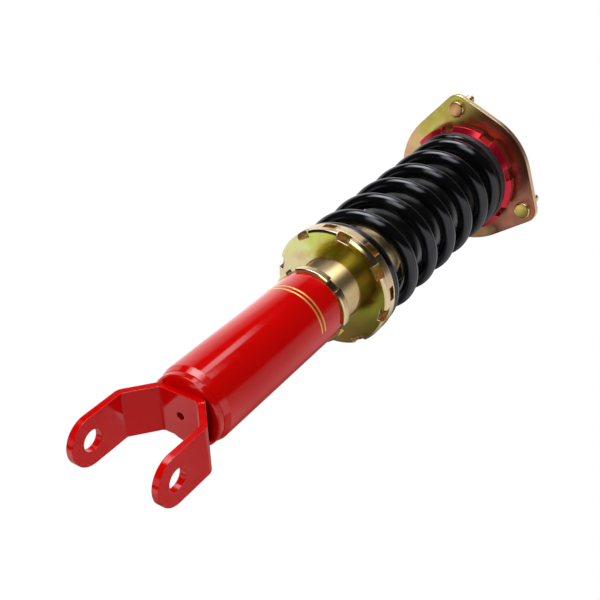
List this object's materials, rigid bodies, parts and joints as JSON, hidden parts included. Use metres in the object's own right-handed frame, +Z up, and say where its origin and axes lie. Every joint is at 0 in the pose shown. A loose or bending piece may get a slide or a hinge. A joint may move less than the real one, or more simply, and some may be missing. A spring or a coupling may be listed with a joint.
{
  "type": "coilover shock absorber",
  "caption": "Height-adjustable coilover with a bolted fork foot, threaded body, slotted lock rings, coil spring and a lobed top plate with studs.",
  "frame": {"origin": "centre of the fork's bolt hole, midway between the two ears", "axes": "+Z up the damper axis towards the top plate, +X along the fork bolt, +Y across the fork"},
  "size_m": [0.1251, 0.1275, 0.4807],
  "materials": {
    "red_powder_coat": "gloss red powder coat",
    "yellow_zinc": "bright yellow zinc passivate with green and pink tints",
    "body_thread_plating": "satin pale gold plating",
    "spring_paint": "gloss black powder coat",
    "isolator_rubber": "matte dark grey rubber",
    "boot_rubber": "smooth black rubber with a soft sheen",
    "seal_rubber": "matte black rubber",
    "bump_foam": "closed-cell foam",
    "crimson_anodised": "satin crimson anodised",
    "chromed_rod": "mirror hard chrome",
    "bare_aluminium": "satin machined",
    "low_friction_plastic": "matte filled plastic",
    "bright_steel": "ground and polished steel",
    "dark_steel": "black oxide steel"
  },
  "bodies": {
    "top_mount": {"top_plate": "yellow_zinc", "mount_studs": "yellow_zinc", "bearing_race": "bright_steel", "retaining_ring": "dark_steel"},
    "ball": {"bearing_ball": "bright_steel"},
    "rod_unit": {"piston_rod": "chromed_rod", "ball_spacer": "bright_steel", "top_washer": "yellow_zinc", "top_nut": "yellow_zinc", "upper_spring_seat": "crimson_anodised", "spring_isolator": "isolator_rubber", "bump_cup": "dark_steel", "bump_stop": "bump_foam", "dust_boot": "boot_rubber", "damper_piston": "bare_aluminium", "piston_band": "low_friction_plastic", "compression_shims": "bright_steel", "rebound_shims": "bright_steel", "piston_nut": "dark_steel"},
    "damper": {"damper_body": "body_thread_plating", "rod_guide": "bare_aluminium", "rod_seal": "seal_rubber", "gland_nut": "dark_steel", "gas_fill_screw": "dark_steel"},
    "gas_separator": {"floating_piston": "bare_aluminium", "floating_piston_ring": "seal_rubber"},
    "perch": {"spring_perch": "yellow_zinc", "coil_spring": "spring_paint"},
    "perch_lock": {"perch_lock_ring": "yellow_zinc"},
    "lower_mount": {"lower_tube": "red_powder_coat", "tube_end_cap": "red_powder_coat", "fork_bracket": "red_powder_coat"},
    "body_lock": {"body_lock_collar": "yellow_zinc"}
  },
  "joints": [
    {"name": "top_tilt", "type": "hinge", "parent": "top_mount", "child": "ball", "pos_m": [0, 0, 0.4362], "axis": [1, 0, 0], "range_deg": [-3, 3]},
    {"name": "top_turn", "type": "hinge", "parent": "ball", "child": "rod_unit", "pos_m": [0, 0, 0.4362], "axis": [0, 0, 1], "continuous": true},
    {"name": "damper_stroke", "type": "slide", "parent": "rod_unit", "child": "damper", "axis": [0, 0, 1], "range_m": [0, 0.075], "stiffness_N_per_m": 72000, "springref_m": -0.004, "deforming": ["coil_spring", "dust_boot"]},
    {"name": "gas_piston_travel", "type": "slide", "parent": "damper", "child": "gas_separator", "axis": [0, 0, -1], "range_m": [0, 0.011]},
    {"name": "perch_height", "type": "slide", "parent": "damper", "child": "perch", "axis": [0, 0, 1], "range_m": [-0.012, 0]},
    {"name": "perch_lock_turn", "type": "hinge", "parent": "perch", "child": "perch_lock", "pos_m": [0, 0, 0.2073], "axis": [0, 0, 1], "continuous": true},
    {"name": "body_height", "type": "slide", "parent": "damper", "child": "lower_mount", "axis": [0, 0, 1], "range_m": [-0.03, 0.008]},
    {"name": "body_lock_turn", "type": "hinge", "parent": "lower_mount", "child": "body_lock", "pos_m": [0, 0, 0.1797], "axis": [0, 0, 1], "continuous": true}
  ],
  "couplings": [
    {"joint": "gas_piston_travel", "follows": "damper_stroke", "ratio": 0.14317}
  ]
}
